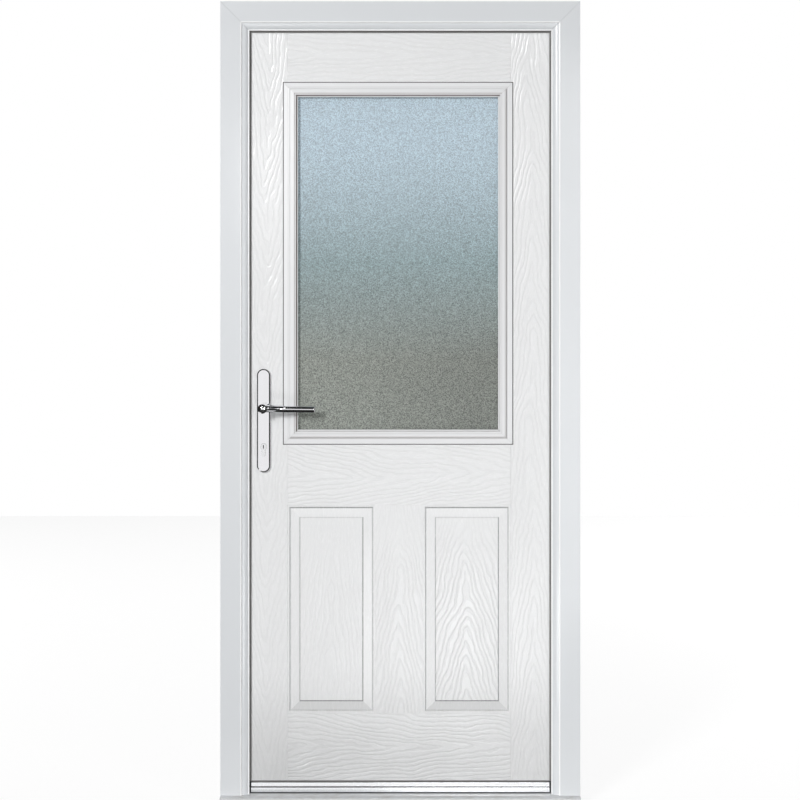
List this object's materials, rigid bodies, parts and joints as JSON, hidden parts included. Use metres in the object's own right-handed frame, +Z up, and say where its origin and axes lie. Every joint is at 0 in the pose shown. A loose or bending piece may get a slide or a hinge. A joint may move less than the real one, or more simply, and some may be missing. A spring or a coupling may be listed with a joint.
{
  "type": "glazed door",
  "caption": "Half-glazed entrance door with obscured glass and raised panels, hung inwards in a white frame on a low threshold and sill, with a lever handle and key lock.",
  "frame": {"origin": "middle of the sill's underside, below the middle of the frame's depth", "axes": "+X to the right as seen from outside, +Y into the building, +Z up"},
  "size_m": [0.92, 0.1606, 2.06],
  "materials": {
    "white_pvcu": "smooth white PVC-u extrusion",
    "white_skin": "satin white pressed skin with a wood-grain emboss",
    "white_cassette": "satin white moulding",
    "white_edging": "white edge band",
    "timber_core": "laminated timber, hidden",
    "obscured_glass": "fine stippled privacy glass",
    "clear_glass": "clear float glass",
    "aluminium": "polished anodised extrusion",
    "spacer_aluminium": "mill finish bar",
    "black_rubber": "black weather seal",
    "black_nylon": "black moulded block",
    "chrome": "polished chrome",
    "nickel_lock": "satin nickel",
    "steel": "zinc-plated steel",
    "white_hinge": "white powder coat"
  },
  "bodies": {
    "frame": {"lock_jamb": "white_pvcu", "hinge_jamb": "white_pvcu", "frame_head": "white_pvcu", "sill": "white_pvcu", "sill_end_caps": "white_pvcu", "threshold": "aluminium", "lock_jamb_seal": "black_rubber", "hinge_jamb_seal": "black_rubber", "head_seal": "black_rubber", "threshold_seal": "black_rubber", "threshold_end_blocks": "black_nylon", "upper_hook_keep": "steel", "latch_keep": "steel", "lower_hook_keep": "steel", "upper_hinge_pin": "steel", "middle_hinge_pin": "steel", "lower_hinge_pin": "steel", "upper_hinge_frame_flag": "white_hinge", "middle_hinge_frame_flag": "white_hinge", "lower_hinge_frame_flag": "white_hinge"},
    "leaf": {"door_core": "timber_core", "outer_skin": "white_skin", "inner_skin": "white_skin", "lock_edge": "white_edging", "hinge_edge": "white_edging", "top_edge": "white_edging", "bottom_edge": "white_edging", "outer_glazing_frame": "white_cassette", "inner_glazing_frame": "white_cassette", "outer_pane": "obscured_glass", "inner_pane": "clear_glass", "spacer_bar": "spacer_aluminium", "lock_strip": "steel", "latch_bolt": "steel", "outer_backplate": "chrome", "inner_backplate": "chrome", "lock_cylinder": "nickel_lock", "inner_key_plug": "nickel_lock", "upper_hinge_door_flag": "white_hinge", "middle_hinge_door_flag": "white_hinge", "lower_hinge_door_flag": "white_hinge"},
    "lever": {"outer_lever": "chrome", "inner_lever": "chrome", "spindle": "steel"},
    "key_plug": {"outer_key_plug": "nickel_lock"}
  },
  "joints": [
    {"name": "leaf_hinge", "type": "hinge", "parent": "frame", "child": "leaf", "pos_m": [0.402, 0.046, 1.0306], "axis": [0, 0, -1], "range_deg": [0, 100]},
    {"name": "lever_turn", "type": "hinge", "parent": "leaf", "child": "lever", "pos_m": [-0.351, 0.013, 1.02], "axis": [0, 1, 0], "range_deg": [-45, 45], "stiffness_Nm_per_rad": 4, "springref_deg": -5.73},
    {"name": "key_turn", "type": "hinge", "parent": "leaf", "child": "key_plug", "pos_m": [-0.351, -0.006, 0.92], "axis": [0, 1, 0], "continuous": true}
  ]
}
